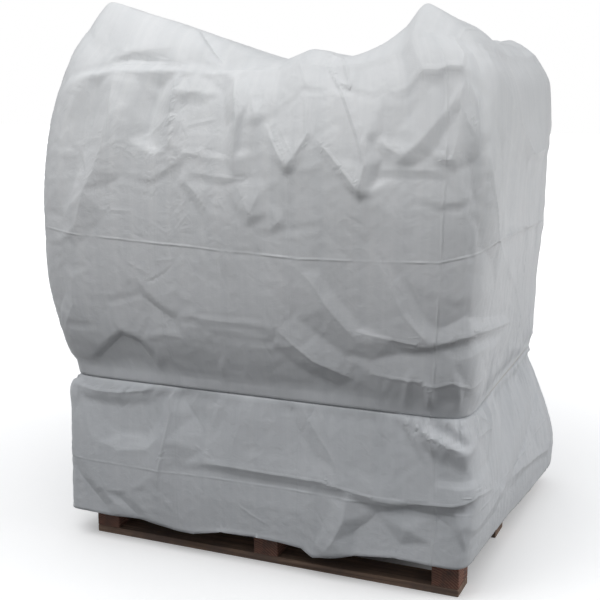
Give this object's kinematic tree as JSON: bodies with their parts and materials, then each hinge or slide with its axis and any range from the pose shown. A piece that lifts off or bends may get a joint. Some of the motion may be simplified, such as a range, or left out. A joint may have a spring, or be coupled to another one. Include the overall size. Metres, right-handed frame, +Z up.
{
  "type": "covered pallet of sacks",
  "caption": "Wooden block pallet loaded with layers of filled sacks, under a loose white fabric cover drawn in at a low waist.",
  "frame": {"origin": "middle of the pallet's underside, on the floor", "axes": "+Z up, X along the pallet's 1200 mm side, minus Y toward the side seen most squarely in the picture"},
  "size_m": [1.4331, 1.1927, 1.6704],
  "materials": {
    "board_wood": "rough sawn and weathered",
    "block_wood": "rough pressed or sawn block",
    "sacking": "matt woven sack",
    "cover_fabric": "matt white woven sheet with fold creases",
    "cord": "matt twisted cord"
  },
  "bodies": {
    "root": {"block_11": "block_wood", "block_12": "block_wood", "block_13": "block_wood", "block_21": "block_wood", "block_22": "block_wood", "block_23": "block_wood", "block_31": "block_wood", "block_32": "block_wood", "block_33": "block_wood", "cover": "cover_fabric", "cross_board_1": "board_wood", "cross_board_2": "board_wood", "cross_board_3": "board_wood", "deck_board_1": "board_wood", "deck_board_2": "board_wood", "deck_board_3": "board_wood", "deck_board_4": "board_wood", "deck_board_5": "board_wood", "deck_board_6": "board_wood", "deck_board_7": "board_wood", "loose_sack_left": "sacking", "loose_sack_right": "sacking", "runner_1": "board_wood", "runner_2": "board_wood", "runner_3": "board_wood", "sack_layer_1": "sacking", "sack_layer_2": "sacking", "sack_layer_3": "sacking", "sack_layer_4": "sacking", "sack_layer_5": "sacking", "sack_layer_6": "sacking", "sack_layer_7": "sacking", "sack_layer_8": "sacking", "sack_layer_9": "sacking", "tie_cord": "cord"}
  },
  "joints": []
}
